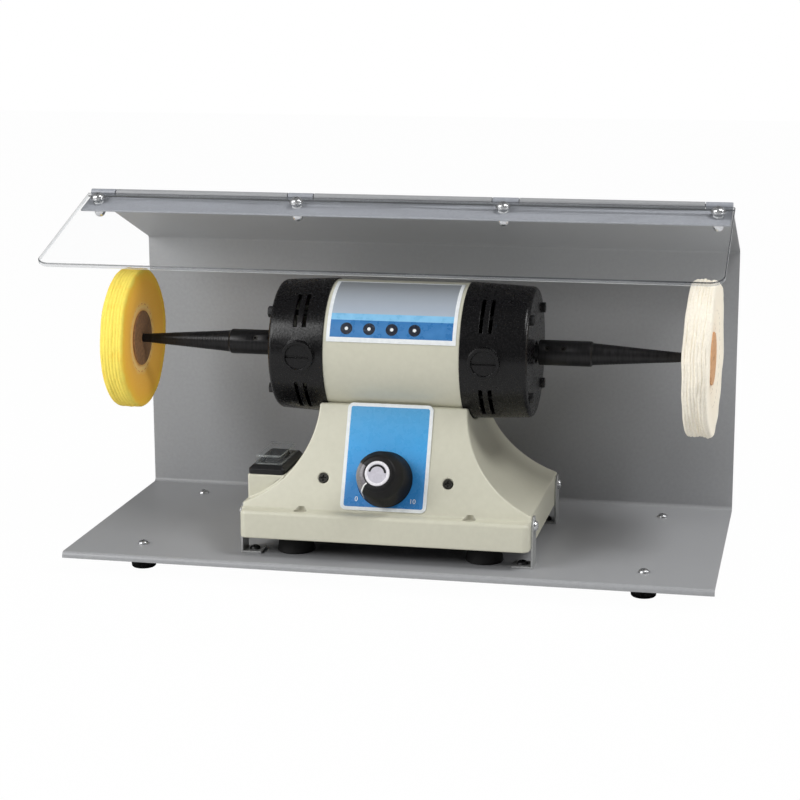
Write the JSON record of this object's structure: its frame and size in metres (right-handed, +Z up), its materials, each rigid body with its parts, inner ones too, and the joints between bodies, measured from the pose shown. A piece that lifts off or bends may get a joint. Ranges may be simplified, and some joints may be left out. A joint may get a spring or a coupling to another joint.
{
  "type": "bench buffer",
  "caption": "Bench buffing motor with a cloth wheel on each tapered spindle, speed knob and rocker switch, standing in a bent sheet hood with a hinged clear visor.",
  "frame": {"origin": "on the bench under the middle of the whole outline at rest", "axes": "+X along the motor shaft to the right wheel, +Y away from the user, +Z up"},
  "size_m": [0.4534, 0.231, 0.2597],
  "materials": {
    "hood_grey": "satin grey enamel",
    "black_rubber": "matt",
    "zinc": "zinc plated",
    "dome_chrome": "polished",
    "clear_acrylic": "clear, polished",
    "cream_enamel": "gloss cream enamel",
    "dark_plate": "black enamel",
    "black_oxide": "black oxide",
    "panel_blue": "printed film",
    "label_blue": "printed film",
    "black_gloss": "gloss black",
    "knob_black": "fine grained",
    "knob_silver": "spun",
    "switch_black": "moulded",
    "boot_clear": "clear soft boot",
    "board_green": "solder mask",
    "part_mix": "moulded",
    "brass": "plain",
    "copper": "enamelled wire",
    "core_steel": "laminated",
    "bearing_steel": "ground",
    "carbon": "pressed carbon",
    "fan_white": "moulded",
    "spindle_steel": "turned",
    "cloth_yellow": "stitched cotton",
    "leather_brown": "plain",
    "cloth_white": "stitched cotton",
    "leather_tan": "plain"
  },
  "bodies": {
    "base": {"base_screws": "zinc", "bearing_balls": "bearing_steel", "bearing_outer_rings": "bearing_steel", "board_parts": "part_mix", "bottom_plate": "dark_plate", "bracket_floor_nuts": "zinc", "bracket_floor_screws": "zinc", "bracket_side_screws": "zinc", "brush_caps": "black_gloss", "brush_holders": "part_mix", "brush_springs": "bearing_steel", "carbon_brushes": "carbon", "control_board": "board_green", "control_panel": "panel_blue", "cord_grommet": "black_rubber", "drum_label": "label_blue", "field_coils": "copper", "front_screws": "black_oxide", "hinge_pin": "zinc", "hood_feet": "black_rubber", "hood_foot_nuts": "zinc", "hood_foot_screws": "zinc", "hood_shell": "hood_grey", "left_cover": "black_gloss", "machine_feet": "black_rubber", "motor_screws": "zinc", "motor_shell": "cream_enamel", "mount_brackets": "zinc", "pedestal": "cream_enamel", "pot_body": "zinc", "pot_nut": "zinc", "right_cover": "black_gloss", "stator_core": "core_steel", "switch_boot": "boot_clear", "switch_housing": "switch_black", "switch_terminals": "brass", "tie_bolts": "zinc", "tie_nuts": "zinc"},
    "rotor": {"motor_shaft": "bearing_steel", "armature_core": "core_steel", "armature_windings": "copper", "commutator": "copper", "cooling_fan": "fan_white", "bearing_inner_rings": "bearing_steel", "left_spindle": "spindle_steel", "right_spindle": "spindle_steel", "spindle_grubs": "black_oxide", "yellow_buff": "cloth_yellow", "yellow_leathers": "leather_brown", "white_buff": "cloth_white", "white_leathers": "leather_tan"},
    "visor": {"visor_strip": "hood_grey", "visor_sheet": "clear_acrylic", "visor_screws": "zinc", "visor_washers": "zinc", "visor_nuts": "dome_chrome"},
    "knob": {"speed_knob": "knob_black", "knob_cap": "knob_silver", "pot_shaft": "zinc"},
    "rocker": {"switch_rocker": "switch_black"}
  },
  "joints": [
    {"name": "rotor_spin", "type": "hinge", "parent": "base", "child": "rotor", "pos_m": [0, -0.00147, 0.1527], "axis": [1, 0, 0], "continuous": true},
    {"name": "visor_hinge", "type": "hinge", "parent": "base", "child": "visor", "pos_m": [0, -0.00556, 0.25714], "axis": [-1, 0, 0], "range_deg": [0, 195]},
    {"name": "knob_turn", "type": "hinge", "parent": "base", "child": "knob", "pos_m": [-0.0016, -0.05728, 0.07083], "axis": [0, 0.9205, -0.3907], "range_deg": [0, 290]},
    {"name": "switch_rock", "type": "hinge", "parent": "base", "child": "rocker", "pos_m": [-0.086, -0.02997, 0.0732], "axis": [-1, 0, 0], "range_deg": [0, 18]}
  ]
}
